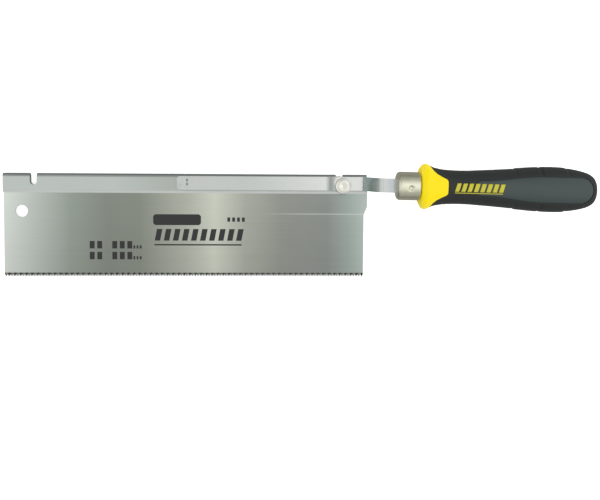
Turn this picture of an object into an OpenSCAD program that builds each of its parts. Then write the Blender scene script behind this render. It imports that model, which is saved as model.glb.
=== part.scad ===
// Offset back saw with a reversible handle, lying with the front of its blade up.
// +X runs along the blade towards the handle, +Y from the teeth to the spine and
// +Z away from the front face. The origin is the centre of the hanging hole, in the
// middle of the blade's thickness. All sizes are in millimetres.

/* [Blade] */
// Length of the toothed edge
edge_length = 250; // [220:1:300]
// Thickness of the blade
blade_t = 0.8; // [0.6:0.1:1]
// Depth from the hanging hole down to the tips of the teeth
edge_depth = 45.8; // [36:0.1:60]
// Number of teeth along the edge
tooth_count = 128; // [60:1:140]
// Height of one tooth
tooth_h = 1.9; // [1:0.1:2]
// Distance from the toe to the hanging hole
toe_gap = 12.2; // [10:0.1:14]
// Radius of the hanging hole
hang_r = 4.2; // [3:0.1:5]

/* [Spine] */
// Height of the spine's top above the hanging hole
spine_top = 26.4; // [25:0.1:30]
// Height of the spine's folded band, lip included
spine_h = 13.5; // [12:0.1:14]
// Thickness of the spine's folded sheet
spine_wall = 1.5; // [1.2:0.1:1.8]
// Width of the two locking notches
notch_w = 4.8; // [4.6:0.1:5.4]

/* [Swinging arm] */
// Width of the flat steel arm
arm_w = 9.4; // [9:0.1:11]
// Thickness of the arm
arm_t = 3; // [2.6:0.1:3.4]
// Rise of the crank that keeps the hand off the work
crank_rise = 26; // [20:0.5:32]
// Slope of the crank
crank_angle = 73; // [60:1:80]
// Droop of the handle below the line of the arm
droop = 1.1; // [0:0.05:2]

/* [Pivot and lock] */
// Radius of the pivot rivet's shank
rivet_r = 2.5; // [2:0.1:2.8]
// Radius of the lock's stud
stud_r = 2.2; // [1.8:0.1:2.2]
// Radius of the thumb disc
disc_r = 5.5; // [5:0.1:6.5]
// Thickness of the thumb disc
disc_t = 2.8; // [2:0.1:4]
// Running clearance of the pivot and the stud
running = 0.05; // [0.02:0.01:0.1]

/* [Handle] */
// Length of the handle from its collar to its butt
handle_length = 119.7; // [110:0.1:135]
// Length of the ferrule
ferrule_length = 15.6; // [12:0.1:18]
// Outer radius of the ferrule
ferrule_r = 9.5; // [9.4:0.1:10.5]
// Thickness of the handle between its two flat faces
handle_thick = 27.6; // [26:0.2:31]

/* [Hidden] */
$fn = 64;
eps = 0.01;

// Blade outline
toe_x = -toe_gap;
heel_x = toe_x + edge_length;
heel_step = 2.4;             // the heel reaches this much further beside the spine
step_low = -3;               // height where the heel's step starts
step_high = 5;               // height where it ends
step_parts = 12;
pitch = edge_length / tooth_count;
blade_top = 17.6;            // upper edge of the blade, inside the spine

// Spine section
spine_x0 = toe_x - 0.2;
spine_x1 = heel_x + heel_step - 0.6;
spine_z = blade_t / 2 + spine_wall;
spine_low = spine_top - spine_h;
lip_h = 1.7;                 // the lower edge of each wall tapers over this height
lip_t = 0.5;

// Pivot, notches and arm
swing_r = edge_length / 2 - 19.1;
pivot_x = toe_x + edge_length / 2 + 1.6;
pivot_y = spine_top - 5.6;
stud_x = pivot_x + swing_r;
notch_r = notch_w / 2;
mouth = 0.3;                 // chamfer at each side of a notch's mouth
washer_t = 0.4;
arm_z = spine_z + washer_t;
arm_y = pivot_y - 0.6;
arm_x0 = pivot_x - 7;
arm_corner = 2.2;
head_rise = 1.1;             // height of the countersunk rivet heads
crank_x = stud_x + 15.1;
bend_r = 3;                  // bend radius at the middle of the arm's thickness
bend_parts = 14;
crank_leg = (crank_rise - 2 * bend_r * (1 - cos(crank_angle))) / sin(crank_angle);
crank_run = 2 * bend_r * sin(crank_angle) + crank_leg * cos(crank_angle);

// Lock
lock_washer_t = 0.3;
disc_z = arm_z + arm_t + lock_washer_t;
disc_dx = 2.3;               // the disc's centre stands off the stud's axis
disc_dy = -2.2;
disc_bevel = 0.8;
keeper_gap = 0.1;
keeper_t = 1.1;
keeper_r = 4.6;
keeper_z = -spine_z - keeper_gap - keeper_t;

// Handle: a local axis along +X, with u = 0 at the collar's front face
ferrule_x = crank_x + crank_run + 8;
collar_x = ferrule_x + ferrule_length;
axis_z = arm_z + arm_t / 2 + crank_rise;
ferrule_wall = 0.8;
ferrule_corner = 2.4;
nose_gap = 0.1;
core_r = 7.2;                // radius of the core under the grip
core_end = handle_length - 12;
collar_end = 6;              // where the collar stops and the grip starts
tongue_w = 9;
tongue_end = 17.1;
tang_w = 7;
tang_end = 60;
panel_u0 = 34.5;
panel_u1 = handle_length - 5.6;
panel_r0 = 5.2;
panel_r1 = 8.6;
panel_floor = 8.4;           // the panels' flat inner face, as a height off the axis
badge_u0 = 21.1;
badge_u1 = 56;
badge_w = 7.6;
badge_t = 0.6;
badge_corner = 1.2;

// Handle profile: distance along the handle as a share of its length, and radius
HANDLE_PROFILE = [[0, 12.2], [0.007, 13.7], [0.016, 14.8], [0.03, 15.2], [0.045, 14.6],
                  [0.071, 13.1], [0.104, 12.2], [0.14, 11.6], [0.2, 11.3], [0.27, 11.65],
                  [0.33, 12.1], [0.41, 12.7], [0.49, 13.4], [0.56, 14.1], [0.64, 14.85],
                  [0.72, 15.2], [0.775, 15.15], [0.83, 14.75], [0.88, 13.85], [0.92, 12.5],
                  [0.95, 11.2], [0.975, 9.1], [0.991, 5.5], [0.9985, 2], [1, 0]];
profile_parts = 3;

// A Catmull-Rom point between b and c, with a and d outside them
function curve_point(a, b, c, d, t) =
    0.5 * (2 * b + (c - a) * t + (2 * a - 5 * b + 4 * c - d) * t * t
           + (3 * b - a - 3 * c + d) * t * t * t);
function profile_at(i) = HANDLE_PROFILE[max(0, min(len(HANDLE_PROFILE) - 1, i))];
function profile_points(inset) = [
    for (i = [0 : len(HANDLE_PROFILE) - 2], k = [0 : profile_parts - 1])
        let (p = curve_point(profile_at(i - 1), profile_at(i), profile_at(i + 1),
                             profile_at(i + 2), k / profile_parts))
            [max(0, p[1] - inset), p[0] * handle_length]
];
function profile_outline(inset) = concat([[0, 0]], profile_points(inset), [[0, handle_length]]);

// The heel's edge: a smooth step from the teeth side to the spine side
function heel_step_points() = [
    for (i = [0 : step_parts])
        let (t = i / step_parts)
            [heel_x + heel_step * (1 - cos(180 * t)) / 2, step_low + (step_high - step_low) * t]
];
// Teeth from heel to toe: each one rakes equally both ways
function tooth_points() = [
    for (i = [tooth_count - 1 : -1 : 0], side = [1, 0])
        side == 1 ? [toe_x + (i + 0.5) * pitch, -edge_depth]
                  : [toe_x + i * pitch, tooth_h - edge_depth]
];
// The arm's side view: points along a bend, at one distance from its centre
function bend_points(cx, cz, r, from, to) = [
    for (i = [0 : bend_parts])
        let (a = from + (to - from) * i / bend_parts)
            [cx + r * sin(a), cz - r * cos(a)]
];

// Puts children on the handle's own axis, which droops from the end of the crank
module on_handle() {
    translate([crank_x, arm_y, axis_z])
        rotate([0, 0, -droop])
            translate([collar_x - crank_x, 0, 0])
                children();
}

// A solid of revolution along the handle, cut to the handle's two flat faces
module handle_solid(inset = 0) {
    intersection() {
        rotate([0, 90, 0])
            rotate_extrude($fn = 96)
                polygon(profile_outline(inset));
        translate([-1, -20, inset - handle_thick / 2])
            cube([handle_length + 2, 40, handle_thick - 2 * inset]);
    }
}

// A slab of space across the handle between two stations
module handle_slab(u0, u1) {
    translate([u0, -20, -20])
        cube([u1 - u0, 40, 40]);
}

// Space of the two tongues of the core that lie in the grip, front and rear
module tongue_space() {
    translate([collar_end - 1, -tongue_w / 2, -20])
        cube([tongue_end - tongue_w / 2 - collar_end + 1, tongue_w, 40]);
    translate([tongue_end - tongue_w / 2, 0, -20])
        cylinder(h = 40, d = tongue_w);
}

// Space of one panel, on the +Z side of the handle
module panel_space() {
    translate([0, 0, panel_floor])
        linear_extrude(20)
            polygon([
                for (a = [90 : 10 : 270])
                    [panel_u0 + panel_r0 + panel_r0 * cos(a), panel_r0 * sin(a)],
                for (a = [-90 : 10 : 90])
                    [panel_u1 - panel_r1 + panel_r1 * cos(a), panel_r1 * sin(a)]
            ]);
}

// Space of one badge, on the +Z side of the handle
module badge_space() {
    for (v = [-1, 1])
        translate([badge_u0 + badge_corner, v * (badge_w / 2 - badge_corner), 0])
            cylinder(h = 20, r = badge_corner);
    translate([badge_u0, badge_corner - badge_w / 2, 0])
        cube([badge_corner, badge_w - 2 * badge_corner, 20]);
    translate([badge_u0 + badge_corner, -badge_w / 2, 0])
        cube([badge_u1 - badge_u0 - badge_corner, badge_w, 20]);
}

module badge_solid() {
    difference() {
        intersection() {
            handle_solid();
            badge_space();
        }
        handle_solid(badge_t);
    }
}

module panel_solid() {
    difference() {
        intersection() {
            handle_solid();
            panel_space();
        }
        badge_solid();
    }
}

// One U-shaped notch, open at the spine's top
module notch_cut(x) {
    depth = spine_top - pivot_y;
    translate([x, pivot_y, -spine_z - 1])
        linear_extrude(2 * spine_z + 2) {
            circle(r = notch_r);
            polygon([[-notch_r, 0], [notch_r, 0], [notch_r, depth - 2 * mouth],
                     [notch_r + mouth, depth + 1], [-notch_r - mouth, depth + 1],
                     [-notch_r, depth - 2 * mouth]]);
        }
}

module blade() {
    color("#b2b6ad")
        difference() {
            translate([0, 0, -blade_t / 2])
                linear_extrude(blade_t)
                    polygon(concat([[toe_x, blade_top], [heel_x + heel_step, blade_top]],
                                   [for (i = [step_parts : -1 : 0]) heel_step_points()[i]],
                                   [[heel_x, tooth_h - edge_depth]],
                                   tooth_points()));
            translate([0, 0, -1])
                cylinder(h = 2, r = hang_r);
        }
}

// A folded steel strip: two walls, a rounded top and a slot that grips the blade
module spine() {
    color("#b4bab9")
        difference() {
            translate([spine_x0, 0, 0])
                rotate([90, 0, 90])
                    linear_extrude(spine_x1 - spine_x0)
                        difference() {
                            union() {
                                polygon([[spine_low, -blade_t / 2 - lip_t],
                                         [spine_low + lip_h, -spine_z],
                                         [spine_top - spine_z, -spine_z],
                                         [spine_top - spine_z, spine_z],
                                         [spine_low + lip_h, spine_z],
                                         [spine_low, blade_t / 2 + lip_t]]);
                                translate([spine_top - spine_z, 0])
                                    circle(r = spine_z);
                            }
                            translate([spine_low - 1, -blade_t / 2])
                                square([spine_h + 1 - spine_z, blade_t]);
                        }
            notch_cut(stud_x);
            notch_cut(pivot_x - swing_r);
            translate([pivot_x, pivot_y, -spine_z - 1])
                cylinder(h = 2 * spine_z + 2, r = rivet_r);
            translate([pivot_x, pivot_y, -spine_z])
                cylinder(h = head_rise, r1 = rivet_r + head_rise, r2 = rivet_r);
        }
}

// Ring between the spine's walls, so that riveting doesn't pinch them
module pivot_spacer() {
    color("#8f938f")
        translate([pivot_x, pivot_y, -blade_t / 2])
            difference() {
                cylinder(h = blade_t, r = rivet_r + 0.6);
                translate([0, 0, -1])
                    cylinder(h = 3, r = rivet_r);
            }
}

// Both heads are countersunk and finish flush
module pivot_rivet() {
    color("#c9cbc7")
        translate([pivot_x, pivot_y, 0]) {
            translate([0, 0, -spine_z])
                cylinder(h = spine_z + arm_z + arm_t, r = rivet_r);
            translate([0, 0, -spine_z])
                cylinder(h = head_rise, r1 = rivet_r + head_rise, r2 = rivet_r);
            translate([0, 0, arm_z + arm_t - head_rise])
                cylinder(h = head_rise, r1 = rivet_r, r2 = rivet_r + head_rise);
        }
}

// Friction washer between the spine and the arm
module pivot_washer() {
    color("#a9aca6")
        translate([pivot_x, pivot_y, spine_z])
            difference() {
                cylinder(h = washer_t, r = rivet_r + 1.6);
                translate([0, 0, -1])
                    cylinder(h = 3, r = rivet_r);
            }
}

// Side view of the cranked part, drawn as X and Z
module crank_outline() {
    half = arm_t / 2;
    low_z = bend_r;
    high_z = crank_rise - bend_r;
    polygon(concat(
        bend_points(0, low_z, bend_r + half, 0, crank_angle),
        [for (i = [bend_parts : -1 : 0]) bend_points(crank_run, high_z, half - bend_r, 0, crank_angle)[i]],
        [[crank_run + 1, crank_rise - half], [crank_run + 1, crank_rise + half]],
        bend_points(crank_run, high_z, -bend_r - half, 0, crank_angle),
        [for (i = [bend_parts : -1 : 0]) bend_points(0, low_z, bend_r - half, 0, crank_angle)[i]],
        [[-3, half], [-3, -half]]));
}

// Flat bar with the pivot and stud holes, then the crank, the strip and the tang
module arm() {
    bar_end = crank_x - arm_x0;
    color("#d5d8d6")
        difference() {
            union() {
                translate([arm_x0, arm_y - arm_w / 2, arm_z])
                    linear_extrude(arm_t) {
                        for (v = [arm_corner, arm_w - arm_corner])
                            translate([arm_corner, v])
                                circle(r = arm_corner);
                        translate([0, arm_corner])
                            square([bar_end, arm_w - 2 * arm_corner]);
                        translate([arm_corner, 0])
                            square([bar_end - arm_corner, arm_w]);
                    }
                translate([crank_x, arm_y, arm_z + arm_t / 2])
                    rotate([0, 0, -droop])
                        rotate([90, 0, 0])
                            translate([0, 0, -arm_w / 2])
                                linear_extrude(arm_w)
                                    crank_outline();
                on_handle() {
                    translate([ferrule_x - collar_x - 8, -arm_w / 2, -arm_t / 2])
                        cube([14, arm_w, arm_t]);
                    translate([ferrule_x - collar_x, -tang_w / 2, -arm_t / 2])
                        cube([ferrule_length + tang_end, tang_w, arm_t]);
                }
            }
            translate([pivot_x, pivot_y, arm_z - 1])
                cylinder(h = arm_t + 2, r = rivet_r + running);
            translate([pivot_x, pivot_y, arm_z + arm_t - head_rise])
                cylinder(h = head_rise + eps, r1 = rivet_r + running,
                         r2 = rivet_r + head_rise + running + eps);
            translate([stud_x, pivot_y, arm_z - 1])
                cylinder(h = arm_t + 2, r = stud_r + running);
        }
}

// Shank of the lock, upset behind the keeper plate
module lock_stud() {
    color("#b9bbb6")
        translate([stud_x, pivot_y, 0]) {
            translate([0, 0, keeper_z])
                cylinder(h = disc_z - keeper_z, r = stud_r);
            translate([0, 0, keeper_z - 0.6])
                cylinder(h = 0.6, r1 = stud_r + 0.1, r2 = stud_r + 0.7);
        }
}

module lock_washer() {
    color("#8f938f")
        translate([stud_x, pivot_y, arm_z + arm_t])
            difference() {
                cylinder(h = lock_washer_t, r = stud_r + 1.6);
                translate([0, 0, -1])
                    cylinder(h = 3, r = stud_r + running);
            }
}

// Thumb disc, off centre on the stud so that it turns as a cam
module lock_disc() {
    color("#d8d8ce")
        translate([stud_x + disc_dx, pivot_y + disc_dy, disc_z]) {
            cylinder(h = disc_t - disc_bevel, r = disc_r);
            translate([0, 0, disc_t - disc_bevel])
                cylinder(h = disc_bevel, r1 = disc_r, r2 = disc_r - disc_bevel);
        }
}

// Thin plate behind the spine that the stud pulls against
module keeper_plate() {
    color("#a9aca6")
        translate([stud_x, pivot_y, keeper_z])
            difference() {
                cylinder(h = keeper_t, r = keeper_r);
                translate([0, 0, -1])
                    cylinder(h = keeper_t + 2, r = stud_r);
            }
}

// Drawn steel cup over the core's nose, slotted for the arm
module ferrule() {
    inner_r = ferrule_r - ferrule_wall;
    color("#a8a598")
        on_handle()
            difference() {
                translate([-ferrule_length, 0, 0])
                    rotate([0, 90, 0])
                        rotate_extrude($fn = 96)
                            difference() {
                                union() {
                                    square([ferrule_r - ferrule_corner, ferrule_length]);
                                    translate([0, ferrule_corner])
                                        square([ferrule_r, ferrule_length - ferrule_corner]);
                                    translate([ferrule_r - ferrule_corner, ferrule_corner])
                                        circle(r = ferrule_corner);
                                }
                                translate([-1, ferrule_corner])
                                    square([inner_r + 1, ferrule_length]);
                                translate([-10, -10])
                                    square([10, ferrule_length + 20]);
                            }
                translate([-ferrule_length - 1, -arm_w / 2 - nose_gap, -arm_t / 2 - nose_gap])
                    cube([ferrule_corner + 2, arm_w + 2 * nose_gap, arm_t + 2 * nose_gap]);
            }
}

// Hard core: nose in the ferrule, collar, two tongues and the body under the grip
module handle_core() {
    nose_r = ferrule_r - ferrule_wall - nose_gap;
    nose_length = ferrule_length - ferrule_corner - nose_gap;
    color("#f5df1a")
        on_handle()
            difference() {
                union() {
                    intersection() {
                        handle_solid();
                        union() {
                            handle_slab(-1, collar_end);
                            tongue_space();
                        }
                    }
                    translate([-nose_length, 0, 0])
                        rotate([0, 90, 0])
                            cylinder(h = nose_length + 1, r = nose_r);
                    rotate([0, 90, 0])
                        cylinder(h = core_end, r = core_r);
                }
                translate([-nose_length - 1, -arm_w / 2 - nose_gap, -arm_t / 2 - nose_gap])
                    cube([nose_length + 1 - ferrule_length + 14, arm_w + 2 * nose_gap,
                          arm_t + 2 * nose_gap]);
                translate([-nose_length - 1, -tang_w / 2, -arm_t / 2])
                    cube([nose_length + 1 + tang_end, tang_w, arm_t]);
            }
}

// Rubber sleeve moulded over the core, with windows for the panels and badges
module soft_grip() {
    color("#2f3130")
        on_handle()
            difference() {
                intersection() {
                    handle_solid();
                    handle_slab(collar_end, handle_length + 1);
                }
                rotate([0, 90, 0])
                    cylinder(h = core_end, r = core_r);
                tongue_space();
                for (face = [0, 180])
                    rotate([face, 0, 0]) {
                        panel_space();
                        badge_solid();
                    }
            }
}

module front_panel() {
    color("#4b5654")
        on_handle()
            panel_solid();
}

module rear_panel() {
    color("#4b5654")
        on_handle()
            rotate([180, 0, 0])
                panel_solid();
}

module front_badge() {
    color("#f5df1a")
        on_handle()
            badge_solid();
}

module rear_badge() {
    color("#f5df1a")
        on_handle()
            rotate([180, 0, 0])
                badge_solid();
}

blade();
spine();
pivot_spacer();
pivot_rivet();
pivot_washer();
arm();
lock_stud();
lock_washer();
lock_disc();
keeper_plate();
ferrule();
handle_core();
soft_grip();
front_panel();
rear_panel();
front_badge();
rear_badge();
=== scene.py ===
"""Looks of an offset back saw with a reversible handle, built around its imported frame.

The saw lies with the front of its blade up: +X runs along the blade to the handle, +Y from
the teeth to the spine. Lengths in this file are millimetres unless a name says otherwise.
"""
import logging
import math
from dataclasses import dataclass, field
from enum import Enum
from typing import Any, Iterable, Sequence

import bmesh
import bpy
import numpy as np
from mathutils import Matrix, Vector


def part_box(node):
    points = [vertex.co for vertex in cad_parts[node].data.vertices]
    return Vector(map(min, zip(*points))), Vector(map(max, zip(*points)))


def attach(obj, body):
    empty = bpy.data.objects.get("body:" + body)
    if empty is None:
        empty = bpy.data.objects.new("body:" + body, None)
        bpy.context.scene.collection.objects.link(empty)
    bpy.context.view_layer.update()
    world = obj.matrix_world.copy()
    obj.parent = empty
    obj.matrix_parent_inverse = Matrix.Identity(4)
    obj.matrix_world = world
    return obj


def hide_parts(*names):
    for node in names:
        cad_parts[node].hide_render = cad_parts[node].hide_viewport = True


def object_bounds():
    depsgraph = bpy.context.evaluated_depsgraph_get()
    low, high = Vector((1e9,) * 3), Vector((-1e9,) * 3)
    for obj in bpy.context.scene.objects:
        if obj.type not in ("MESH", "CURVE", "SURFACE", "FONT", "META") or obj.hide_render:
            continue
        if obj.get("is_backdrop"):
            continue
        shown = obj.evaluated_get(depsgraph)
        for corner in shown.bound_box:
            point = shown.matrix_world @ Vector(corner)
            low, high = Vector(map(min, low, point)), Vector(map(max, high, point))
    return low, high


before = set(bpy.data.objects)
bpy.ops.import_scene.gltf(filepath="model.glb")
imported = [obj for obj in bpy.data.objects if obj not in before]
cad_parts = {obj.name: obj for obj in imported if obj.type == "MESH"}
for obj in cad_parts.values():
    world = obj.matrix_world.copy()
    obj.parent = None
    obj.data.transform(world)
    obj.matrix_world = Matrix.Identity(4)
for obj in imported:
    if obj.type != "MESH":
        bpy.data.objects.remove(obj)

LOG = logging.getLogger("back_saw")
MM = 0.001
# Distance from tooth to tooth: thirteen to the inch
TOOTH_MM = 1.953

# Range that most of a noise's values lie in
NOISE_LOW, NOISE_HIGH = 0.3, 0.7
# Size of the broad clouds in every finish, and their share of its pattern
CLOUD_MM, CLOUD_SHARE = 20.0, 0.4
# Range of pointiness from a flat face to a sharp edge, and the colour of bare worn metal
EDGE_LOW, EDGE_HIGH = 0.52, 0.62
WORN = "#E7E7E5"


class Body(str, Enum):
    """Rigid bodies of the saw that a piece can ride on."""

    BLADE = "saw_blade"
    ARM = "handle_arm"
    LOCK = "lock_cam"


class Grain(Enum):
    """Factors on each axis that draw a pattern out along its grain."""

    ALONG = (0.015, 1.0, 1.0)
    ACROSS = (1.0, 0.015, 1.0)
    NONE = (1.0, 1.0, 1.0)


# ---------------------------------------------------------------- colours and nodes


def linear(hex_colour: str) -> tuple[float, float, float, float]:
    """Turn an sRGB hex colour into linear RGBA.

    Args:
        hex_colour: A colour such as "#F5DF1A".

    Returns:
        Linear red, green, blue and an alpha of 1.
    """
    parts = [int(hex_colour[i:i + 2], 16) / 255 for i in (1, 3, 5)]
    low = [c / 12.92 if c <= 0.04045 else ((c + 0.055) / 1.055) ** 2.4 for c in parts]
    return (low[0], low[1], low[2], 1.0)


def add_node(tree: bpy.types.NodeTree, kind: str, values: dict[str, Any] | None = None,
             links: dict[str, Any] | None = None, stops: Sequence[tuple[float, str]] = (),
             **settings: Any) -> bpy.types.Node:
    """Add one shader node with its settings, socket values and incoming links.

    Args:
        tree: The node tree to add to.
        kind: The node's Blender type name.
        values: Socket name or index to its value.
        links: Socket name or index to the output socket that feeds it.
        stops: Positions and sRGB hex colours, for a colour ramp only.
        settings: Attributes of the node.

    Returns:
        The new node.
    """
    node = tree.nodes.new(kind)
    for name, value in settings.items():
        setattr(node, name, value)
    for name, value in (values or {}).items():
        node.inputs[name].default_value = value
    for name, output in (links or {}).items():
        tree.links.new(output, node.inputs[name])
    for i, (place, colour) in enumerate(stops):
        ramp = node.color_ramp.elements
        stop = ramp[i] if i < 2 else ramp.new(place)
        stop.position = place
        stop.color = linear(colour)
    return node


def millimetres(tree: bpy.types.NodeTree, scale: Sequence[float]) -> Any:
    """Give the object's own coordinates in millimetres, stretched along its grain.

    Args:
        tree: The material's node tree.
        scale: Factor on each axis, where a small one draws the pattern out along it.

    Returns:
        The output socket with the scaled position.
    """
    place = add_node(tree, "ShaderNodeTexCoord")
    size = [factor / MM for factor in scale]
    mapped = add_node(tree, "ShaderNodeMapping", {"Scale": size},
                      {"Vector": place.outputs["Object"]})
    return mapped.outputs["Vector"]


# ---------------------------------------------------------------- finishes


@dataclass(frozen=True)
class Finish:
    """A finish: what the surface is made of and how it was made.

    Args:
        name: The material's name.
        colour: Its sRGB hex colour.
        rough: Roughness of the clean surface.
        metallic: 1 for bare or plated metal, 0 for everything else.
        spacing_mm: Size of the surface's pattern, such as a scratch's width or a moulded grain.
        grain: Direction of the pattern.
        mottle: How much the colour varies, from 0 to 1.
        relief_mm: Depth of the pattern.
        spread: How much the roughness varies.
        wear: Lightening of rubbed edges, from 0 to 1.
        shine: Strength of the surface's mirror-like part, where 0.5 is a common plastic's.
    """

    name: str
    colour: str
    rough: float
    metallic: float = 0.0
    spacing_mm: float = 0.4
    grain: Grain = Grain.NONE
    mottle: float = 0.05
    relief_mm: float = 0.01
    spread: float = 0.06
    wear: float = 0.0
    shine: float = 0.5

    def build(self) -> bpy.types.Material:
        """Build the material.

        Returns:
            A node material with colour, roughness and relief from its pattern.
        """
        made = bpy.data.materials.get(self.name)
        if made:
            return made
        made = bpy.data.materials.new(self.name)
        made.use_nodes = True
        made.diffuse_color = linear(self.colour)
        tree = made.node_tree
        shader = tree.nodes["Principled BSDF"]
        shader.inputs["Metallic"].default_value = self.metallic
        shader.inputs["Specular IOR Level"].default_value = self.shine
        pattern = add_node(tree, "ShaderNodeTexNoise",
                           {"Scale": 1 / self.spacing_mm, "Detail": 5.0, "Roughness": 0.6},
                           {"Vector": millimetres(tree, self.grain.value)})
        cloud = add_node(tree, "ShaderNodeTexNoise", {"Scale": 1 / CLOUD_MM, "Detail": 3.0},
                         {"Vector": millimetres(tree, Grain.NONE.value)})
        both = add_node(tree, "ShaderNodeMix", {"Factor": CLOUD_SHARE},
                        {"A": pattern.outputs["Fac"], "B": cloud.outputs["Fac"]})
        light = add_node(tree, "ShaderNodeMapRange",
                         {"From Min": NOISE_LOW, "From Max": NOISE_HIGH,
                          "To Min": 1 - self.mottle, "To Max": 1 + self.mottle},
                         {"Value": both.outputs[0]})
        tinted = add_node(tree, "ShaderNodeHueSaturation", {}, {"Value": light.outputs[0]})
        self.paint(tree, tinted.inputs["Color"])
        tree.links.new(self.edged(tree, tinted.outputs[0]), shader.inputs["Base Color"])
        rough = add_node(tree, "ShaderNodeMapRange",
                         {"From Min": NOISE_LOW, "From Max": NOISE_HIGH,
                          "To Min": self.rough - self.spread, "To Max": self.rough + self.spread},
                         {"Value": both.outputs[0]})
        tree.links.new(rough.outputs[0], shader.inputs["Roughness"])
        bump = add_node(tree, "ShaderNodeBump", {"Strength": 0.5, "Distance": self.relief_mm * MM},
                        {"Height": pattern.outputs["Fac"]})
        tree.links.new(bump.outputs[0], shader.inputs["Normal"])
        return made

    def paint(self, tree: bpy.types.NodeTree, socket: Any) -> None:
        """Give a socket the clean surface's colour.

        Args:
            tree: The material's node tree.
            socket: The socket that takes the colour.
        """
        socket.default_value = linear(self.colour)

    def edged(self, tree: bpy.types.NodeTree, colour: Any) -> Any:
        """Lighten a colour along rubbed edges.

        Args:
            tree: The material's node tree.
            colour: The socket of the colour so far.

        Returns:
            The socket of the colour with its worn edges.
        """
        if self.wear == 0:
            return colour
        form = add_node(tree, "ShaderNodeNewGeometry")
        edge = add_node(tree, "ShaderNodeMapRange",
                        {"From Min": EDGE_LOW, "From Max": EDGE_HIGH, "To Max": self.wear},
                        {"Value": form.outputs["Pointiness"]})
        mixed = add_node(tree, "ShaderNodeMix", {"B": linear(WORN)},
                         {"Factor": edge.outputs[0], "A": colour}, data_type="RGBA")
        return mixed.outputs["Result"]


@dataclass(frozen=True)
class Zone:
    """A tinted zone of a steel part, with soft edges: the part's own colour, or painted light and shade.

    Args:
        colour: The tint's sRGB hex colour.
        cover: How much of the colour beneath it hides, from 0 to 1.
        edges: For each soft edge its axis, where the tint starts and where it is full.
        crest: The sRGB hex colour that the tint turns to and back from along the saw.
        wave_mm: Length of one such turn, or 0 for an even tint.
    """

    colour: str
    cover: float
    edges: tuple[tuple[str, float, float], ...]
    # crest: The sRGB hex colour of a painted highlight that the tint turns to and back from along the
    # saw.
    crest: str = "#FFFFFF"
    wave_mm: float = 0.0

    def lay(self, tree: bpy.types.NodeTree, under: Any) -> Any:
        """Lay the tint over a colour.

        Args:
            tree: The material's node tree.
            under: The socket of the colour so far.

        Returns:
            The socket of the colour with the tint.
        """
        place = add_node(tree, "ShaderNodeSeparateXYZ", {},
                         {"Vector": millimetres(tree, Grain.NONE.value)})
        masks = [add_node(tree, "ShaderNodeMapRange", {"From Min": start, "From Max": full},
                          {"Value": place.outputs[axis]}) for axis, start, full in self.edges]
        amount = add_node(tree, "ShaderNodeMath", {1: self.cover}, {0: masks[0].outputs[0]},
                          operation="MULTIPLY")
        for mask in masks[1:]:
            amount = add_node(tree, "ShaderNodeMath", {}, {0: amount.outputs[0], 1: mask.outputs[0]},
                              operation="MULTIPLY")
        mixed = add_node(tree, "ShaderNodeMix", {"B": linear(self.colour)},
                         {"Factor": amount.outputs[0], "A": under}, data_type="RGBA")
        # A painted highlight that comes and goes along the saw, for the teeth's facets
        if self.wave_mm:
            turn = add_node(tree, "ShaderNodeMath", {1: 2 * math.pi / self.wave_mm},
                            {0: place.outputs["X"]}, operation="MULTIPLY")
            wave = add_node(tree, "ShaderNodeMath", {}, {0: turn.outputs[0]}, operation="SINE")
            share = add_node(tree, "ShaderNodeMapRange", {"From Min": -1.0, "From Max": 1.0},
                             {"Value": wave.outputs[0]})
            tint = add_node(tree, "ShaderNodeMix", {"A": linear(self.colour), "B": linear(self.crest)},
                            {"Factor": share.outputs[0]}, data_type="RGBA")
            tree.links.new(tint.outputs["Result"], mixed.inputs["B"])
        return mixed.outputs["Result"]


@dataclass(frozen=True)
class BandedSteel(Finish):
    """Steel whose colour changes along the saw in broad bands of painted reflection and shade, with
    tinted zones over them.

    Args:
        low_x: Where the first band is.
        high_x: Where the last band is.
        bands: Share of the way along and sRGB hex colour of the painted reflection and shade, with the
            first and last given first.
        zones: Tinted zones, the lowest first.
    """

    low_x: float = -12.4
    high_x: float = 240.2
    bands: tuple[tuple[float, str], ...] = ()
    zones: tuple[Zone, ...] = ()

    def paint(self, tree: bpy.types.NodeTree, socket: Any) -> None:
        """Give a socket the painted bands' colour with every zone laid over it.

        Args:
            tree: The material's node tree.
            socket: The socket that takes the colour.
        """
        place = add_node(tree, "ShaderNodeSeparateXYZ", {},
                         {"Vector": millimetres(tree, Grain.NONE.value)})
        along = add_node(tree, "ShaderNodeMapRange", {"From Min": self.low_x, "From Max": self.high_x},
                         {"Value": place.outputs["X"]})
        band = add_node(tree, "ShaderNodeValToRGB", {}, {"Fac": along.outputs[0]}, stops=self.bands)
        colour = band.outputs[0]
        for zone in self.zones:
            colour = zone.lay(tree, colour)
        tree.links.new(colour, socket)


# Painted shade leaves the blade a little darker towards the teeth
SHADE_TOWARDS_TEETH = Zone("#000000", 0.17, (("Y", 23.1, -45.8),))
# A fine light line near the heel, where two passes of the grinding wheel meet
GROUND_LINE = Zone("#D3D9D6", 0.35, (("Y", -2.0, -1.5), ("Y", -0.8, -1.3), ("X", 165.0, 195.0)))
# Hardening blackens the teeth and painted shade darkens them further, and every other tooth's filed
# facet gets a painted highlight
HARDENED_SHADE_AND_GLINTS = Zone("#0A0B09", 1.0, (("Y", -42.7, -43.2),), crest="#7C7E77", wave_mm=2 * TOOTH_MM)
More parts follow.
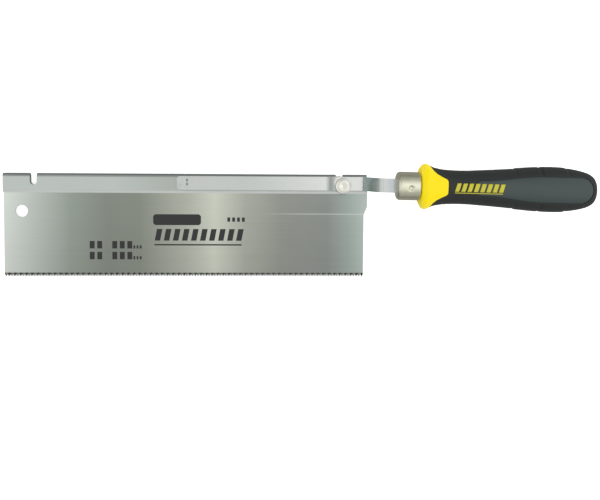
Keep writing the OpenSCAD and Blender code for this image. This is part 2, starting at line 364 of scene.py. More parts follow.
# Ground and lacquered spring steel: lengthwise lines, coarser than the wheel's so that they show; its
# broad bands along the saw are painted reflections and painted shade
BLADE_STEEL = BandedSteel(
    "ground_blade_steel", "#B2B6AD", 0.34, 1.0, 1.1, Grain.ALONG, 0.05, 0.004, 0.06,
    bands=((0.0, "#CDD3CC"), (1.0, "#ABB5B0"), (0.07, "#B7BDB7"), (0.18, "#919991"),
           (0.28, "#82887F"), (0.37, "#858A81"), (0.50, "#A9ADA2"), (0.575, "#C4C8BB"),
           (0.66, "#A3A69C"), (0.76, "#8D9089"), (0.89, "#868A86"), (0.95, "#96A09A")),
    zones=(SHADE_TOWARDS_TEETH, GROUND_LINE, HARDENED_SHADE_AND_GLINTS))
# A painted highlight brightens the spine's lower lip, and painted shade darkens the bend of its fold
LIP_HIGHLIGHT = Zone("#F4F6F5", 0.95, (("Y", 14.7, 14.4),))
FOLD_SHADE = Zone("#888C8A", 0.9, (("Y", 23.9, 24.2), ("Y", 26.3, 25.4)))
# Zinc-plated folded sheet: grey and satin, with drawing lines; its bands are painted shade that darkens
# it towards the handle
SPINE_STEEL = BandedSteel(
    "zinc_plated_sheet", "#B2B8B4", 0.34, 1.0, 0.5, Grain.ALONG, 0.05, 0.004, 0.06,
    bands=((0.0, "#B2B8B4"), (1.0, "#A6ABA7"), (0.3, "#B4BAB6"), (0.45, "#A7ADA6")),
    zones=(LIP_HIGHLIGHT, FOLD_SHADE))
# A painted blue-grey reflection covers the bar's steep part, and a painted shadow of the disc darkens
# the bar beside the lock
CRANK_REFLECTION = Zone("#96AAAC", 1.0, (("Z", 6.5, 8.5), ("Z", 28.1, 26.5)))
DISC_SHADOW = Zone("#66726F", 0.9, (("X", 210.5, 213.5), ("X", 219.5, 214.5)))
# Nickel-plated flat bar: bright, with a soft sheen and faint rolling lines; its bands are painted light
# and shade, darker at both ends
ARM_STEEL = BandedSteel(
    "nickel_plated_bar", "#CDCFCC", 0.27, 1.0, 0.4, Grain.ALONG, 0.04, 0.003, 0.06, wear=0.15,
    low_x=107.0, high_x=262.0,
    bands=((0.0, "#B3B7B4"), (1.0, "#989EA0"), (0.35, "#B1B6B2"), (0.65, "#C6C9C7"),
           (0.86, "#C8CAC8"), (0.95, "#9DA3A5")),
    zones=(CRANK_REFLECTION, DISC_SHADOW))
# Nickel-plated drawn cup: warm, with turning marks that run round it
FERRULE_STEEL = Finish("nickel_plated_cup", "#D2D0BC", 0.27, 1.0, 0.5, Grain.ACROSS, 0.09, 0.005, 0.08)
# Turned and nickel-plated fittings: brighter, with a mottled film
FITTING_STEEL = Finish("nickel_plated_fitting", "#D3D2C9", 0.3, 1.0, 0.9, Grain.NONE, 0.09, 0.006,
                       0.08, wear=0.3)
# Rivet head planished level with the bar: like the bar, but dulled by the hammer
RIVET_STEEL = Finish("planished_rivet_steel", "#BCC0BC", 0.3, 1.0, 0.6, Grain.NONE, 0.08, 0.006,
                     0.07, wear=0.15)
# Injection-moulded ABS: even, with a soft gloss and a very light orange peel
CORE_ABS = Finish("moulded_abs_yellow", "#FFE502", 0.36, 0.0, 1.2, Grain.NONE, 0.03, 0.006, 0.05,
                  shine=0.25)
# Thermoplastic rubber: matt, with a spark-eroded grain drawn coarser than the mould's to show
GRIP_RUBBER = Finish("moulded_rubber_black", "#262928", 0.55, 0.0, 0.35, Grain.NONE, 0.16, 0.05, 0.09,
                     shine=0.3)
# Moulded polypropylene: satin slate grey with a finer grain
PANEL_PLASTIC = Finish("moulded_pp_slate", "#313E3C", 0.4, 0.0, 0.3, Grain.NONE, 0.10, 0.03, 0.07)
# Pad-printed ink on the grip: flat colour with slight pinholes
BADGE_INK = Finish("printed_ink_yellow", "#C9C02C", 0.45, 0.0, 0.5, Grain.NONE, 0.10, 0.01, 0.06)
# Screen-printed ink on the blade: thin, dark and slightly uneven
PRINT_INK = Finish("printed_ink_black", "#2C2D2C", 0.5, 0.0, 0.5, Grain.NONE, 0.12, 0.004, 0.06,
                   shine=0.3)


# ---------------------------------------------------------------- mesh help


def grid_faces(rows: int, cols: int, wrap: bool) -> list[tuple[int, int, int, int]]:
    """List the quads of a grid of points.

    Args:
        rows: Number of rows of points.
        cols: Number of points in a row.
        wrap: Whether the last column joins the first.

    Returns:
        Vertex indices of each quad.
    """
    faces = []
    for row in range(rows - 1):
        for col in range(cols if wrap else cols - 1):
            one, two = row * cols + col, row * cols + (col + 1) % cols
            faces.append((one, one + cols, two + cols, two))
    return faces


def slab_faces(rows: int, cols: int) -> list[tuple[int, int, int, int]]:
    """List the faces of a slab: a grid of points, the same grid beneath it, and the rim between.

    Args:
        rows: Number of rows of points in a grid.
        cols: Number of points in a row.

    Returns:
        Vertex indices of each face.
    """
    size = rows * cols
    top = grid_faces(rows, cols, False)
    under = [(size + d, size + c, size + b, size + a) for a, b, c, d in top]
    rim = [*range(cols), *[r * cols + cols - 1 for r in range(1, rows)],
           *[(rows - 1) * cols + c for c in range(cols - 2, -1, -1)],
           *[r * cols for r in range(rows - 2, 0, -1)]]
    sides = [(a, b, size + b, size + a) for a, b in zip(rim, rim[1:] + rim[:1])]
    return top + under + sides


def turned(centre: Vector, ring: Sequence[tuple[float, float]], sides: int) -> Any:
    """Give the points of a turned shape, one row for each place on its ring.

    Args:
        centre: A point on its upright axis.
        ring: Radius and height of each row.
        sides: Number of points in a row.

    Returns:
        The points as rows of three.
    """
    angle = np.linspace(0, 2 * math.pi, sides, endpoint=False)
    return np.concatenate([
        np.stack([centre.x + radius * np.cos(angle), centre.y + radius * np.sin(angle),
                  np.full_like(angle, height)], axis=-1) for radius, height in ring])


def make_piece(name: str, points: Any, faces: Iterable[Sequence[int]], finish: Finish, body: Body,
               stands_for: Sequence[str] = (), smooth: bool = True) -> bpy.types.Object:
    """Make one piece from points in the saw's frame.

    Args:
        name: The piece's name.
        points: Its points, in millimetres.
        faces: Vertex indices of its faces.
        finish: What it is finished with.
        body: The body it rides on.
        stands_for: CAD nodes that it replaces.
        smooth: Whether its faces are shaded smooth.

    Returns:
        The new object.
    """
    mesh = bpy.data.meshes.new(name)
    mesh.from_pydata([Vector(p) * MM for p in points], [], [tuple(f) for f in faces])
    work = bmesh.new()
    work.from_mesh(mesh)
    bmesh.ops.remove_doubles(work, verts=work.verts, dist=1e-7)
    bmesh.ops.recalc_face_normals(work, faces=work.faces)
    work.to_mesh(mesh)
    work.free()
    mesh.polygons.foreach_set("use_smooth", [smooth] * len(mesh.polygons))
    piece = bpy.data.objects.new(name, mesh)
    bpy.context.scene.collection.objects.link(piece)
    mesh.materials.append(finish.build())
    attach(piece, body.value)
    if stands_for:
        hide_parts(*stands_for)
    LOG.info("%s: %d points, %s, rides on %s", name, len(mesh.vertices), finish.name, body.value)
    return piece


def smooth_step(t: Any) -> Any:
    """Ease from 0 to 1 with level ends; t is clipped to that range."""
    t = np.clip(t, 0.0, 1.0)
    return t * t * (3 - 2 * t)


def node_box(node: str) -> tuple[Vector, Vector]:
    """Give a CAD node's lowest and highest corners in millimetres."""
    low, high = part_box(node)
    return low / MM, high / MM


@dataclass(frozen=True)
class BarRow:
    """A row of equal plain bars, whose tops can lean.

    Args:
        x: Left end of the first bar's foot.
        y: Height of the feet.
        width: Width of a bar.
        height: Height of a bar.
        step: Distance from bar to bar.
        count: Number of bars.
        lean: How far a bar's top stands to the right of its foot.
    """

    x: float
    y: float
    width: float
    height: float
    step: float = 0.0
    count: int = 1
    lean: float = 0.0

    def starts(self) -> list[float]:
        """Give the left end of each bar's foot."""
        return [self.x + self.step * i for i in range(self.count)]

    def outlines(self) -> list[list[tuple[float, float]]]:
        """Give the four corners of each bar."""
        top = self.y + self.height
        return [[(x, self.y), (x + self.width, self.y),
                 (x + self.width + self.lean, top), (x + self.lean, top)] for x in self.starts()]


# ---------------------------------------------------------------- steel parts kept from CAD


@dataclass
class SteelWork:
    """The blade, spine, arm and fittings, whose CAD shapes are right as they are.

    Args:
        bevel_mm: Edge rounding of each rounded node.
        finishes: Finish of each node.
        sharp_deg: Angle between faces above which their edge is rounded.
    """

    bevel_mm: dict[str, float] = field(default_factory=lambda: {
        "spine": 0.14, "arm": 0.4, "keeper_plate": 0.15, "pivot_washer": 0.05})
    finishes: dict[str, Finish] = field(default_factory=lambda: {
        "blade": BLADE_STEEL, "spine": SPINE_STEEL, "arm": ARM_STEEL,
        "pivot_spacer": FITTING_STEEL, "pivot_washer": FITTING_STEEL, "lock_stud": FITTING_STEEL,
        "lock_washer": FITTING_STEEL, "keeper_plate": FITTING_STEEL})
    sharp_deg: float = 32.0

    def dress(self) -> None:
        """Give each node its finish, and round the edges that show."""
        for node, finish in self.finishes.items():
            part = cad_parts[node]
            part.data.materials.clear()
            part.data.materials.append(finish.build())
            if node in self.bevel_mm:
                self.round_edges(part, self.bevel_mm[node])
            LOG.info("%s: CAD shape, %s", node, finish.name)

    def round_edges(self, part: bpy.types.Object, width: float) -> None:
        """Round a CAD node's sharp edges with modifiers.

        Args:
            part: The node's object.
            width: Width of the rounding.
        """
        weld = part.modifiers.new("weld", "WELD")
        weld.merge_threshold = 1e-6
        bevel = part.modifiers.new("edge_round", "BEVEL")
        bevel.width = width * MM
        bevel.segments = 3
        bevel.limit_method = "ANGLE"
        bevel.angle_limit = math.radians(self.sharp_deg)
        bevel.harden_normals = True


@dataclass
class BladeMarks:
    """Plain printed marks on the blade, with no lettering: a plate, bars, squares and a line.

    Args:
        plate: Left, lowest, right and highest of the plate.
        cut: Size of the plate's cut corners.
        rows: The rows of bars, where the line is a row of one.
        film: Thickness of the ink, thicker than real so that it stays clear of the steel.
    """

    plate: tuple[float, float, float, float] = (90.4, -9.5, 123.6, -1.9)
    cut: float = 1.3
    rows: tuple[BarRow, ...] = (
        BarRow(91.4, -20.4, 3.8, 8.2, 6.3, 10, 1.6), BarRow(91.2, -23.8, 60.8, 1.0),
        BarRow(142.0, -7.0, 2.0, 3.0, 3.4, 4),
        BarRow(46.4, -26.0, 3.4, 5.2, 5.2, 2), BarRow(62.0, -26.0, 3.4, 5.2, 5.2, 3),
        BarRow(76.6, -26.0, 1.3, 2.2, 2.2, 3),
        BarRow(46.4, -33.6, 3.4, 5.2, 5.2, 2), BarRow(62.0, -33.6, 3.4, 5.2, 5.2, 3),
        BarRow(76.6, -33.6, 1.3, 2.2, 2.2, 3))
    film: float = 0.03

    def plate_outline(self) -> list[tuple[float, float]]:
        """Give the plate's eight corners."""
        left, low, right, high = self.plate
        cut = self.cut
        return [(left + cut, low), (right - cut, low), (right, low + cut), (right, high - cut),
                (right - cut, high), (left + cut, high), (left, high - cut), (left, low + cut)]

    def build(self) -> None:
        """Build the marks as thin films of ink on the blade's front face."""
        shapes = [self.plate_outline()]
        for row in self.rows:
            shapes += row.outlines()
        points: list[tuple[float, float, float]] = []
        faces: list[Sequence[int]] = []
        face = node_box("blade")[1].z
        for shape in shapes:
            count = len(shape)
            low = [len(points) + i for i in range(count)]
            high = [i + count for i in low]
            points += [(x, y, z) for z in (face, face + self.film) for x, y in shape]
            faces += [low[::-1], high]
            faces += [(low[i - 1], low[i], high[i], high[i - 1]) for i in range(count)]
        make_piece("blade_marks", points, faces, PRINT_INK, Body.BLADE, smooth=False)


# ---------------------------------------------------------------- thumb disc and rivet


@dataclass
class ThumbDisc:
    """The lock's turned disc, with a rounded rim and a shallow ring in its face.

    Args:
        sides: Number of points round it.
    """

    sides: int = 96

    def build(self) -> None:
        """Build the disc on the CAD disc's own box."""
        low, high = node_box("lock_disc")
        radius = (high.x - low.x) / 2
        foot, face = low.z, high.z
        rim = [(0.0, foot), (radius - 0.25, foot), (radius, foot + 0.25), (radius, face - 0.6),
               (radius - 0.06, face - 0.34), (radius - 0.2, face - 0.16), (radius - 0.4, face - 0.05),
               (radius - 0.62, face)]
        groove = [(radius - 0.9, face), (radius - 1.0, face - 0.1), (radius - 1.12, face - 0.1),
                  (radius - 1.22, face)]
        dished = [(radius - 2.4, face - 0.02), (0.8, face - 0.03), (0.4, face - 0.2), (0.0, face - 0.26)]
        ring = rim + groove + dished
        make_piece("thumb_disc", turned((low + high) / 2, ring, self.sides),
                   grid_faces(len(ring), self.sides, True), FITTING_STEEL, Body.LOCK,
                   ["lock_disc"])


@dataclass
class PivotRivet:
    """The arm's pivot: countersunk at both ends, with two punch marks in its front head.

    Args:
        sides: Number of points round it.
        rings: Number of rows of points in its front face.
        shank: Radius between its heads.
        head_rise: Height of a head.
        punch_off: Distance of each punch mark from the middle.
        punch_deep: Depth of a punch mark.
        punch_wide: Radius of a punch mark.
    """

    sides: int = 72
    rings: int = 22
    shank: float = 2.5
    head_rise: float = 1.1
    punch_off: float = 1.35
    punch_deep: float = 1.0
    punch_wide: float = 0.72

    def build(self) -> None:
        """Build the rivet on the CAD rivet's own box."""
        low, high = node_box("pivot_rivet")
        wide = (high.x - low.x) / 2
        flat = wide - 0.05
        ring = [(0.0, low.z), (flat, low.z), (wide, low.z + 0.04), (self.shank, low.z + self.head_rise),
                (self.shank, high.z - self.head_rise), (wide, high.z - 0.04), (flat, high.z)]
        ring += [(flat - flat * i / self.rings, high.z) for i in range(1, self.rings + 1)]
        centre = (low + high) / 2
        points = turned(centre, ring, self.sides)
        front = np.isclose(points[:, 2], high.z)
        for side in (-1, 1):
            away = np.hypot(points[:, 0] - centre.x, points[:, 1] - centre.y - side * self.punch_off)
            points[:, 2] -= front * self.punch_deep * np.exp(-(away / self.punch_wide) ** 4)
        make_piece("swaged_rivet", points, grid_faces(len(ring), self.sides, True), RIVET_STEEL,
                   Body.BLADE, ["pivot_rivet"], smooth=False)


# ---------------------------------------------------------------- handle


@dataclass
class HandleForm:
    """The handle's outer shape, about a local axis u that starts at the collar's front.

    Args:
        stations: Distance along the handle as a share of its length, and half its height.
        ferrule_length: Length of the ferrule, which ends where u is 0.
        knee: Half thickness above which the front and rear flatten.
        squash: How much of the swelling above the knee is kept.
        power: Exponent of the cross-section, where 2 is an ellipse.
    """

    stations: Sequence[tuple[float, float]] = (
        (0, 12.2), (0.007, 13.7), (0.016, 14.8), (0.03, 15.2), (0.045, 14.6), (0.071, 13.1),
        (0.104, 12.2), (0.14, 11.6), (0.2, 11.3), (0.27, 11.65), (0.33, 12.1), (0.41, 12.7),
        (0.49, 13.4), (0.56, 14.1), (0.64, 14.85), (0.72, 15.2), (0.775, 15.15), (0.83, 14.75),
        (0.88, 13.85), (0.92, 12.5), (0.95, 11.2), (0.975, 9.1), (0.991, 5.5), (0.9985, 2), (1, 0))
    ferrule_length: float = 15.6
    knee: float = 12.4
    squash: float = 0.43
    power: float = 2.15

    def __post_init__(self) -> None:
        """Find the handle's axis from the boxes of the ferrule and the badge, which lie on it."""
        cup_low, cup_high = node_box("ferrule")
        bar_low, bar_high = node_box("front_badge")
        butt = node_box("soft_grip")[1]
        cup = (cup_low + cup_high) / 2
        bar = (bar_low + bar_high) / 2
        self.along = Vector((bar.x - cup.x, bar.y - cup.y, 0)).normalized()
        self.across = Vector((-self.along.y, self.along.x, 0))
        self.origin = cup + self.along * self.ferrule_length / 2
        self.length = (butt.x - self.origin.x) / self.along.x
        # A smooth curve through the stations, in twelve steps between each two
        ends = [self.stations[0], *self.stations, self.stations[-1]]
        table = []
        for a, b, c, d in zip(ends, ends[1:], ends[2:], ends[3:]):
            for t in np.linspace(0, 1, 12, endpoint=False):
                table.append([0.5 * (2 * q + (r - p) * t + (2 * p - 5 * q + 4 * r - s) * t * t
                                     + (3 * q - p - 3 * r + s) * t ** 3)
                              for p, q, r, s in zip(a, b, c, d)])
        table.append(list(self.stations[-1]))
        self.table = np.array(table)

    def radius(self, u: Any) -> Any:
        """Give half the handle's height at each distance u."""
        return np.interp(u, self.table[:, 0] * self.length, np.maximum(self.table[:, 1], 0))

    def depth(self, u: Any) -> Any:
        """Give half the handle's thickness at each distance u."""
        r = self.radius(u)
        return np.where(r > self.knee, self.knee + (r - self.knee) * self.squash, r)

    def surface(self, u: Any, angle: Any, sink: Any = 0.0) -> Any:
        """Give points on the handle's surface, or sunk below it.

        Args:
            u: Distances along the axis, or one distance.
            angle: Angles about the axis from the front, in radians.
            sink: Distance below the surface.

        Returns:
            Local points as an array with a last axis of three.
        """
        share = 2 / self.power
        s, c = np.sin(angle), np.cos(angle)
        y = np.maximum(self.radius(u) - sink, 0) * np.sign(s) * np.abs(s) ** share
        z = np.maximum(self.depth(u) - sink, 0) * np.sign(c) * np.abs(c) ** share
        return np.stack([u + 0 * y, y, z], axis=-1)

    def patch(self, u: Any, y: Any, rise: Any) -> Any:
        """Give points that follow the handle's front face.

        Args:
            u: Distances along the handle.
            y: Distances across it.
            rise: Height above the handle's outer shape.

        Returns:
            Local points as an array with a last axis of three.
        """
        share = np.clip(np.abs(y) / np.maximum(self.radius(u), 0.01), 0, 1) ** self.power
        return np.stack([u, y, self.depth(u) * (1 - share) ** (1 / self.power) + rise], axis=-1)

    def place(self, local: Any, rear: bool = False) -> Any:
        """Move local points into the saw's frame.

        Args:
            local: Points with u, y and z in the last axis.
            rear: Whether to turn them to the handle's rear face.

        Returns:
            The points as rows of three.
        """
        flat = np.asarray(local, dtype=float).reshape(-1, 3)
        side = -1.0 if rear else 1.0
        return (np.array(self.origin) + flat[:, :1] * np.array(self.along)
                + side * flat[:, 1:2] * np.array(self.across) + side * flat[:, 2:] * np.array((0, 0, 1)))


@dataclass
class PanelShape:
    """Outline of the slate panel let into each face of the handle.

    Args:
        u0: Where it starts.
        u1: Where it ends.
        r0: Radius of its first end.
        r1: Radius of its last end.
        widened: Share of the way between the ends' centres where it is as wide as it gets.
    """

    u0: float = 34.5
    u1: float = 114.1
    r0: float = 5.2
    r1: float = 8.8
    widened: float = 0.62

    def nearest(self, u: Any) -> tuple[Any, Any]:
        """Give the half width at each distance u, and how far u is beyond the ends' centres."""
        c0, c1 = self.u0 + self.r0, self.u1 - self.r1
        t = np.clip((u - c0) / (c1 - c0), 0, 1)
        wide = self.r0 + (self.r1 - self.r0) * smooth_step(t / self.widened)
        return wide, u - (c0 + (c1 - c0) * t)

    def inside(self, u: Any, y: Any) -> Any:
        """Give the distance inside the outline, negative outside it."""
        wide, beyond = self.nearest(u)
        return wide - np.hypot(beyond, y)

    def edge(self, u: Any) -> Any:
        """Give the outline's half width at each distance u."""
        wide, beyond = self.nearest(u)
        return np.sqrt(np.maximum(wide ** 2 - beyond ** 2, 0))


@dataclass
class Handle:
    """Ferrule, hard core, soft grip, panels and badges.

    Args:
        form: The handle's outer shape.
        panel: Outline of the slate panels.
        sides: Number of points round the handle.
        shoulder: Radius of the ferrule's shoulder.
        dimple: Place along the handle and round the ferrule of its staked dimple.
        edge_deg: Angles from the front, or from the rear, at which the collar's edge is given.
        edge_u: Distance along the handle of the collar's edge at each of them.
        inner: Sink that takes a row of points to the handle's axis.
        panel_seat: Depth of the seat of each panel.
        grip_steps: Place, depth and width of each groove across the grip's sides.
    """

    form: HandleForm = field(default_factory=HandleForm)
    panel: PanelShape = field(default_factory=PanelShape)
    sides: int = 240
    shoulder: float = 2.4
    dimple: tuple[float, float] = (-6.9, -1.2)
    edge_deg: tuple[float, ...] = (0, 19, 25, 33, 41, 52, 68, 90)
    edge_u: tuple[float, ...] = (17.1, 17.1, 16.4, 13.0, 10.0, 7.8, 6.3, 5.8)
    inner: float = 30.0
    panel_seat: float = 1.1
    grip_steps: tuple[tuple[float, float, float], ...] = (
        (62.8, 0.3, 0.8), (79.9, 0.9, 0.8), (97.8, 0.35, 0.9))

    def __post_init__(self) -> None:
        """Set the angles of the columns, and the collar's edge at each of them."""
        self.angle = np.linspace(0, 2 * math.pi, self.sides, endpoint=False)
        turn = np.degrees(np.abs((self.angle + math.pi / 2) % math.pi - math.pi / 2))
        fine = np.linspace(-20, 110, 261)
        raw = np.interp(np.where(fine > 90, 180 - fine, np.abs(fine)), self.edge_deg, self.edge_u)
        eased = np.convolve(raw, np.ones(7) / 7, mode="same")
        self.collar_end = np.interp(turn, fine, eased)

    def build(self) -> None:
        """Build every piece of the handle."""
        self.build_ferrule()
        self.build_collar()
        self.build_grip()
        for rear in (False, True):
            self.build_panel(rear)
            self.build_badge(rear)

    def build_sleeve(self, name: str, rows: Sequence[Any], finish: Finish, node: str) -> None:
        """Build a piece that runs round the handle.

        Args:
            name: The piece's name.
            rows: Its rows of local points, each with a point for every angle.
            finish: What it is finished with.
            node: The CAD node that it replaces.
        """
        make_piece(name, self.form.place(np.array(rows)), grid_faces(len(rows), self.sides, True),
                   finish, Body.ARM, [node])

    def build_ferrule(self) -> None:
        """Build the drawn cup with its rounded shoulder, rolled rim and staked dimple."""
        low, high = node_box("ferrule")
        radius = (high.z - low.z) / 2
        length, corner = self.form.ferrule_length, self.shoulder
        # The closed end, its rounded shoulder, the straight wall and the rolled rim
        ring = [(-length, 0.0), (-length, radius - corner - 1.2)]
        ring += [(-length + corner - corner * math.cos(a), radius - corner + corner * math.sin(a))
                 for a in np.linspace(0, math.pi / 2, 9)]
        ring += [(u, radius) for u in np.arange(-length + corner + 0.3, -0.95, 0.35)]
        ring += [(-0.85, radius), (-0.6, radius), (-0.35, radius - 0.08), (-0.22, radius - 0.25),
                 (-0.2, radius - 0.8), (-0.2, 0.0)]
        round_it = ((self.angle + math.pi) % (2 * math.pi) - math.pi) * radius
        # The dimple is a round-bottomed pit whose middle rises a little
        rows = []
        for u, r in ring:
            bend = np.full_like(self.angle, r)
            if r > radius - 0.1:
                away = np.hypot(u - self.dimple[0], round_it - self.dimple[1])
                bend += 0.2 * np.exp(-(away / 0.7) ** 2) - 1.1 * np.exp(-(away / 1.6) ** 4)
            rows.append(np.stack([np.full_like(bend, u), bend * np.sin(self.angle),
                                  bend * np.cos(self.angle)], axis=-1))
        self.build_sleeve("ferrule_cup", rows, FERRULE_STEEL, "ferrule")

    def build_collar(self) -> None:
        """Build the hard core's collar and its two tongues."""
        surface, angle, end = self.form.surface, self.angle, self.collar_end
        # From the axis over the front's rounded edge, along the outside, and down under the grip
        rows = [surface(0.0, angle, sink) for sink in (self.inner, 4.6, 2.4, 0.9, 0.3, 0.05)]
        rows += [surface(0.06 + (end - 0.31) * share ** 1.35, angle) for share in np.linspace(0, 1, 44)]
        rows += [surface(end - 0.08, angle, 0.08), surface(end, angle, 0.3), surface(end, angle, 1.4),
                 surface(5.0, angle, self.inner)]
        self.build_sleeve("core_collar", rows, CORE_ABS, "handle_core")

    def grip_sink(self, u: Any) -> Any:
        """Give how far the grip's surface is sunk: seats of the panels, and steps at the sides.

        Args:
            u: Distances along the handle, one for every angle.

        Returns:
            The depth below the handle's outer shape.
        """
        # The rubber lies low from the waist to the butt, and full on the pads at its sides
        y = self.form.surface(u, self.angle)[..., 1]
        seat = self.panel_seat * smooth_step(self.panel.inside(u, y) / 0.45 + 0.75)
        side = smooth_step((np.abs(np.sin(self.angle)) - 0.52) / 0.25)
        base = 0.32 * smooth_step((u - 22) / 12) * (1 - smooth_step((u - 104) / 8))
        padded = smooth_step((u - 63.2) / 0.9) * (1 - smooth_step((u - 97.0) / 1.2))
        cuts = sum(deep * np.exp(-((u - at) / wide) ** 2) for at, deep, wide in self.grip_steps)
        return seat + base * (1 - padded * side) + cuts * side

    def build_grip(self) -> None:
        """Build the rubber sleeve from the collar's edge to the butt."""
        # A short wall beside the collar's edge, then rows that crowd together towards the butt
        surface, angle = self.form.surface, self.angle
        start = self.collar_end + 0.02
        rows = [surface(5.6, angle, self.inner), surface(start, angle, 1.4), surface(start, angle, 0.42)]
        edge = self.collar_end + 0.22
        for t in np.linspace(0, 1, 301):
            u = edge + (self.form.length - edge) * (1 - (1 - t) ** 1.3)
            rounded = 0.12 if t == 0 else 0.0
            rows.append(surface(u, angle, self.grip_sink(u) + rounded))
        self.build_sleeve("rubber_grip", rows, GRIP_RUBBER, "soft_grip")

    def build_panel(self, rear: bool) -> None:
        """Build the slate panel of one face, with rounded edges that sink into the grip.

        Args:
            rear: Whether it is the rear face's panel.
        """
        shape = self.panel
        gap = 0.16
        eased = (1 - np.cos(np.linspace(0, math.pi, 150))) / 2
        u = shape.u0 + gap + (shape.u1 - shape.u0 - 2 * gap) * eased
        wide = np.maximum(shape.edge(u) - gap, 0.02)
        across = np.linspace(-1, 1, 41)
        across = np.sign(across) * (1 - (1 - np.abs(across)) ** 1.6)
        grid_u = np.repeat(u[:, None], len(across), axis=1)
        grid_y = wide[:, None] * across[None, :]
        near = np.clip(shape.inside(grid_u, grid_y) - gap, 0, None)
        # Its face lies just below the rubber, its edge is rounded, and its back is in the seat
        levels = (-0.28 - 0.45 * np.exp(-near / 0.28), -2.0)
        slab = [self.form.patch(grid_u, grid_y, level) for level in levels]
        end = "rear" if rear else "front"
        make_piece(f"{end}_slate_panel", self.form.place(np.array(slab), rear),
                   slab_faces(*grid_u.shape), PANEL_PLASTIC, Body.ARM, [f"{end}_panel"])

    def build_badge(self, rear: bool) -> None:
        """Build a row of plain slanted bars over a thin line, as a printed film.

        Args:
            rear: Whether it is on the rear face.
        """
        end = "rear" if rear else "front"
        low = node_box(f"{end}_badge")[0]
        u0 = (low.x - self.form.origin.x) / self.form.along.x + 0.4
        levels = 8
        points, faces = [], []
        for row in (BarRow(u0, -2.6, 2.7, 5.5, 4.1, 8, 1.6), BarRow(u0, -3.7, 31.4, 0.5, lean=0.2)):
            steps = max(4, int(row.width * 3))
            up, along = np.meshgrid(np.linspace(0, 1, levels), np.linspace(0, row.width, steps),
                                    indexing="ij")
            for start in row.starts():
                film = [self.form.patch(start + row.lean * up + along, row.y + row.height * up, rise)
                        for rise in (0.02, -0.7)]
                faces += [tuple(len(points) + i for i in face) for face in slab_faces(levels, steps)]
                points += list(self.form.place(np.array(film), rear))
        make_piece(f"{end}_badge_bars", points, faces, BADGE_INK, Body.ARM,
                   [f"{end}_badge"])


# ---------------------------------------------------------------- floor, light and camera


@dataclass(frozen=True)
class Lamp:
    """A large soft lamp off one end of the saw.

    Args:
        name: Its name.
        place_m: Where it hangs, in metres.
        watts: Its power.
        size_m: Its diameter, in metres.
    """

    name: str
    place_m: tuple[float, float, float]
    watts: float
    size_m: float

    def hang(self, target: Vector) -> None:
        """Hang the lamp so that it faces a place.

        Args:
            target: The place, in metres.
        """
        data = bpy.data.lights.new(self.name, "AREA")
        data.energy = self.watts
        data.shape = "DISK"
        data.size = self.size_m
        lamp = bpy.data.objects.new(self.name, data)
        bpy.context.scene.collection.objects.link(lamp)
        lamp.location = self.place_m
        lamp.rotation_euler = (target - Vector(self.place_m)).to_track_quat("-Z", "Y").to_euler()


# Share of the way from straight down to above the zenith, and the sky's colour there
SKY = ((0.1, "#9C9D9A"), (1.0, "#FFFFFF"), (0.3, "#A0A19E"), (0.41, "#808280"), (0.5, "#A8AAA8"),
       (0.7, "#BEC0BE"), (0.77, "#C6C8C6"), (0.84, "#E2E3E2"), (0.885, "#FFFFFF"))


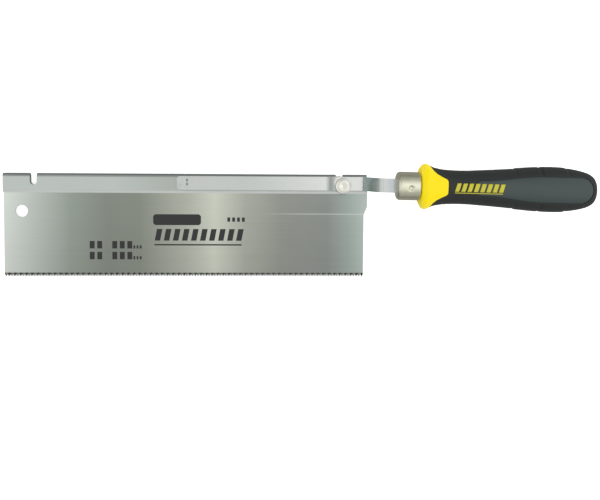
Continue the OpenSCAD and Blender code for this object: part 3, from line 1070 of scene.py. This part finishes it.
@dataclass
class Studio:
    """Pale floor, soft light and the camera above the blade.

    Args:
        eye: Where the camera is.
        aim: The place that it looks at.
        roll_deg: How far it is rolled.
        lens_mm: Its focal length.
        shift: How far its frame is shifted upwards, as a share of its width.
        lamps: The lamps.
        lamp_aim_m: The place that the lamps face, in metres.
        floor_half_m: Half the floor's width, in metres.
        floor_glow: Strength of the floor's own light, which keeps it white.
        sky_lean: How much the sky's shades lean away from the side of the spine.
    """

    eye: tuple[float, float, float] = (170.7, 35.9, 542.3)
    aim: tuple[float, float, float] = (192.9, 7.1, 0.0)
    roll_deg: float = 0.39
    lens_mm: float = 46.38
    shift: float = -0.0801
    lamps: tuple[Lamp, ...] = (Lamp("toe_lamp", (-1.6, 0.1, 0.9), 10.0, 3.2),
                               Lamp("handle_lamp", (1.8, 0.3, 1.0), 25.0, 4.0))
    lamp_aim_m: tuple[float, float, float] = (0.19, 0.0, 0.0)
    floor_half_m: float = 4.0
    floor_glow: float = 0.6
    sky_lean: float = -0.1

    def build(self) -> None:
        """Build the studio."""
        self.build_floor()
        self.build_world()
        for lamp in self.lamps:
            lamp.hang(Vector(self.lamp_aim_m))
        self.build_camera()

    def build_floor(self) -> None:
        """Lay a pale matt floor under the saw's lowest point."""
        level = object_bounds()[0].z
        corners = [(x * self.floor_half_m, y * self.floor_half_m, level)
                   for x, y in ((-1, -1), (1, -1), (1, 1), (-1, 1))]
        mesh = bpy.data.meshes.new("floor")
        mesh.from_pydata(corners, [], [(0, 1, 2, 3)])
        floor = bpy.data.objects.new("floor", mesh)
        bpy.context.scene.collection.objects.link(floor)
        paint = bpy.data.materials.new("floor_paint")
        paint.use_nodes = True
        shader = paint.node_tree.nodes["Principled BSDF"]
        shader.inputs["Base Color"].default_value = linear("#F7F7F7")
        shader.inputs["Roughness"].default_value = 0.9
        shader.inputs["Specular IOR Level"].default_value = 0.1
        shader.inputs["Emission Color"].default_value = linear("#FFFFFF")
        shader.inputs["Emission Strength"].default_value = self.floor_glow
        mesh.materials.append(paint)
        floor.visible_glossy = False
        floor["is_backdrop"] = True

    def build_world(self) -> None:
        """Light the scene all round, a little darker towards the horizon."""
        world = bpy.data.worlds.new("studio")
        bpy.context.scene.world = world
        world.use_nodes = True
        tree = world.node_tree
        ground = tree.nodes["Background"]
        place = add_node(tree, "ShaderNodeTexCoord")
        parts = add_node(tree, "ShaderNodeSeparateXYZ", {}, {"Vector": place.outputs["Generated"]})
        side = add_node(tree, "ShaderNodeMath", {1: self.sky_lean}, {0: parts.outputs["Y"]},
                        operation="MULTIPLY")
        lean = add_node(tree, "ShaderNodeMath", {}, {0: parts.outputs["Z"], 1: side.outputs[0]},
                        operation="ADD")
        level = add_node(tree, "ShaderNodeMapRange", {"From Min": -1.0, "From Max": 1.2},
                         {"Value": lean.outputs[0]})
        sky = add_node(tree, "ShaderNodeValToRGB", {}, {"Fac": level.outputs[0]}, stops=SKY)
        tree.links.new(sky.outputs[0], ground.inputs["Color"])
        ground.inputs["Strength"].default_value = 1.1

    def build_camera(self) -> None:
        """Set the camera over the blade, tilted a little towards the handle and the teeth."""
        data = bpy.data.cameras.new("camera")
        camera = bpy.data.objects.new("camera", data)
        bpy.context.scene.collection.objects.link(camera)
        eye, aim = Vector(self.eye) * MM, Vector(self.aim) * MM
        ahead = (aim - eye).normalized()
        right = ahead.cross(Vector((0, 1, 0))).normalized()
        up = right.cross(ahead)
        basis = Matrix((right, up, -ahead)).transposed().to_4x4()
        roll = Matrix.Rotation(math.radians(self.roll_deg), 4, "Z")
        camera.matrix_world = Matrix.Translation(eye) @ basis @ roll
        data.lens = self.lens_mm
        data.sensor_width = 36.0
        data.shift_y = self.shift
        data.clip_start = 0.01
        bpy.context.scene.camera = camera
        bpy.context.scene.view_settings.view_transform = "Standard"


def main() -> None:
    """Build the saw's pieces in order, then the studio."""
    logging.basicConfig(level=logging.INFO, format="%(name)s %(message)s")
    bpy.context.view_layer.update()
    Studio().build()
    SteelWork().dress()
    BladeMarks().build()
    ThumbDisc().build()
    PivotRivet().build()
    Handle().build()


if __name__ == "__main__":
    main()
